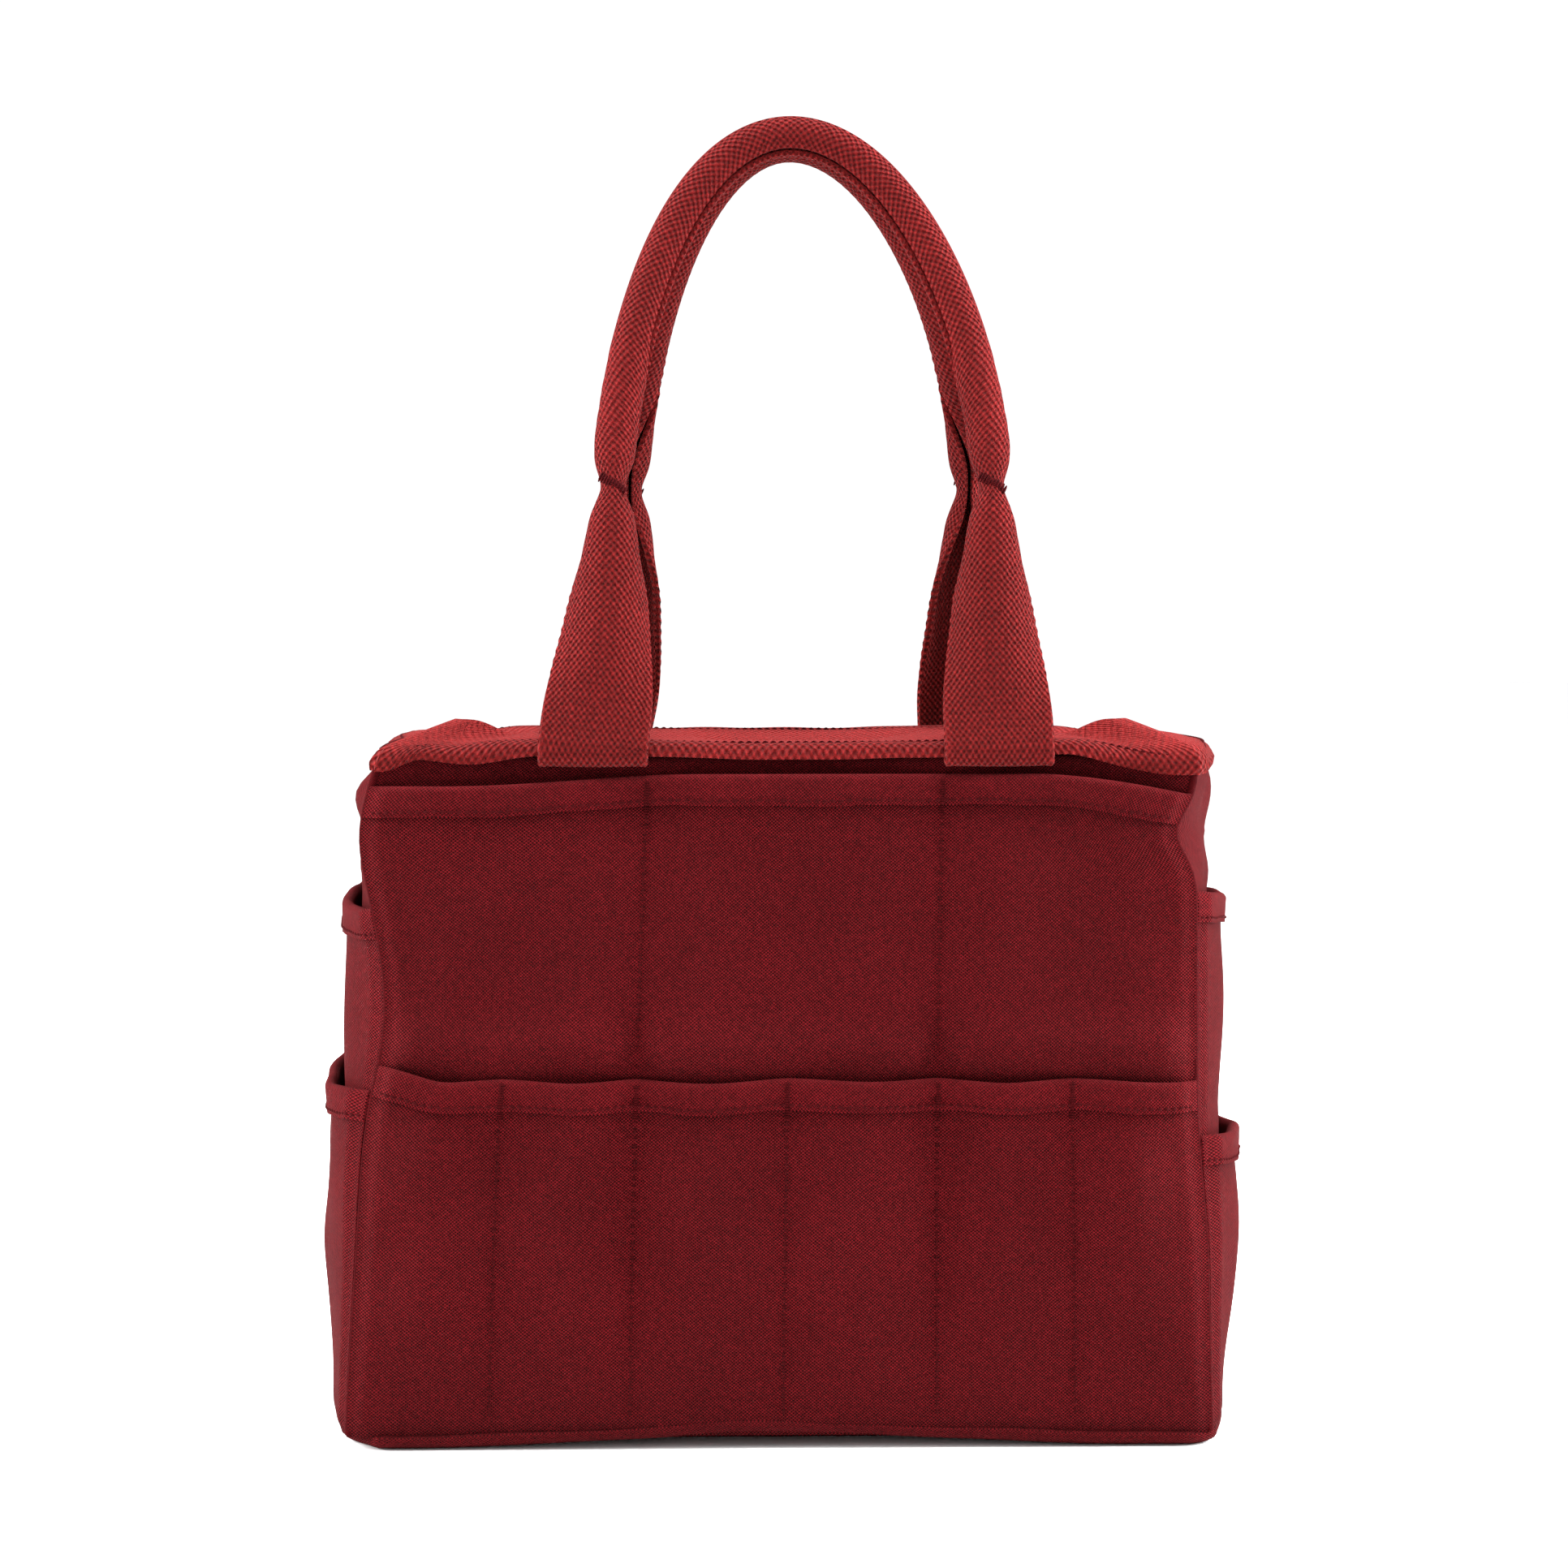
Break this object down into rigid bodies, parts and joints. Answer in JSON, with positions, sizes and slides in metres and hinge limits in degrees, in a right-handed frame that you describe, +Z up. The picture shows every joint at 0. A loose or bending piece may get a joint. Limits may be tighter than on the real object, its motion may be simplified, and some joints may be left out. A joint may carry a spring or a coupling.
{
  "type": "garden tool bag",
  "caption": "Open-topped canvas tote for garden hand tools, with tiers of outside pockets, a webbing rim and two swinging webbing handles.",
  "frame": {"origin": "centre of the sole, on the surface that the bag stands on", "axes": "+Z up, the front with its pockets towards -Y, +X to the right seen from the front"},
  "size_m": [0.3414, 0.187, 0.4659],
  "materials": {
    "canvas": "matt plain-weave cotton canvas",
    "binding": "matt canvas strip folded over a pocket's edge",
    "webbing": "coarse cotton webbing, matt and slightly lighter",
    "thread": "heavy sewing thread"
  },
  "bodies": {
    "bag": {"back_left_handle_end": "webbing", "back_lower_binding": "binding", "back_lower_pocket": "canvas", "back_lower_stitching_1": "thread", "back_lower_stitching_2": "thread", "back_lower_stitching_3": "thread", "back_lower_stitching_4": "thread", "back_lower_stitching_5": "thread", "back_panel": "canvas", "back_right_handle_end": "webbing", "back_upper_binding": "binding", "back_upper_pocket": "canvas", "back_upper_stitching_1": "thread", "back_upper_stitching_2": "thread", "bottom_panel": "canvas", "front_left_handle_end": "webbing", "front_lower_binding": "binding", "front_lower_pocket": "canvas", "front_lower_stitching_1": "thread", "front_lower_stitching_2": "thread", "front_lower_stitching_3": "thread", "front_lower_stitching_4": "thread", "front_lower_stitching_5": "thread", "front_panel": "canvas", "front_right_handle_end": "webbing", "front_upper_binding": "binding", "front_upper_pocket": "canvas", "front_upper_stitching_1": "thread", "front_upper_stitching_2": "thread", "left_gusset": "canvas", "left_lower_binding": "binding", "left_lower_pocket": "canvas", "left_upper_binding": "binding", "left_upper_pocket": "canvas", "right_gusset": "canvas", "right_lower_binding": "binding", "right_lower_pocket": "canvas", "right_upper_binding": "binding", "right_upper_pocket": "canvas", "rim_band": "webbing"},
    "front_handle": {"front_handle": "webbing", "front_left_handle_tack": "thread", "front_right_handle_tack": "thread"},
    "back_handle": {"back_handle": "webbing", "back_left_handle_tack": "thread", "back_right_handle_tack": "thread"}
  },
  "joints": [
    {"name": "front_handle_swing", "type": "hinge", "parent": "bag", "child": "front_handle", "pos_m": [0.0045, -0.08246, 0.243], "axis": [1, 0, 0], "range_deg": [0, 188]},
    {"name": "back_handle_swing", "type": "hinge", "parent": "bag", "child": "back_handle", "pos_m": [0.0045, 0.08246, 0.243], "axis": [-1, 0, 0], "range_deg": [0, 188]}
  ]
}
